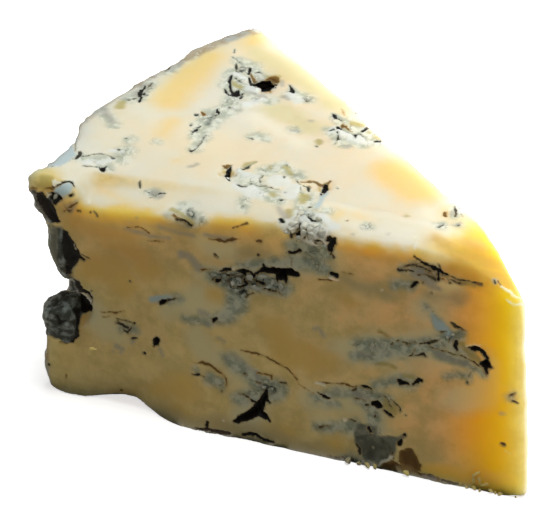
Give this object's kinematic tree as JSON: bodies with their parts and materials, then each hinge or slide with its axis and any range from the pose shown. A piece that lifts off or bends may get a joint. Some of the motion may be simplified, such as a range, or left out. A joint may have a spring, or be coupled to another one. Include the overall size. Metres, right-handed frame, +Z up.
{
  "type": "blue cheese wedge",
  "caption": "Wedge of blue-veined cheese cut from a round wheel, with a drooping point, crumbled rind corner, open mould pockets and a flat underside.",
  "frame": {"origin": "on the flat underside, below the middle of the wedge's box", "axes": "+Z up; +X from the rind side to the point, along the middle of the wedge; +Y towards the back cut"},
  "size_m": [0.1022, 0.071, 0.0523],
  "materials": {
    "paste": "moist, buttery cut cheese",
    "blue_mould": "dry, velvety blue-grey mould",
    "rind": "dry, rough natural rind"
  },
  "bodies": {
    "root": {"wedge": "paste"}
  },
  "joints": []
}
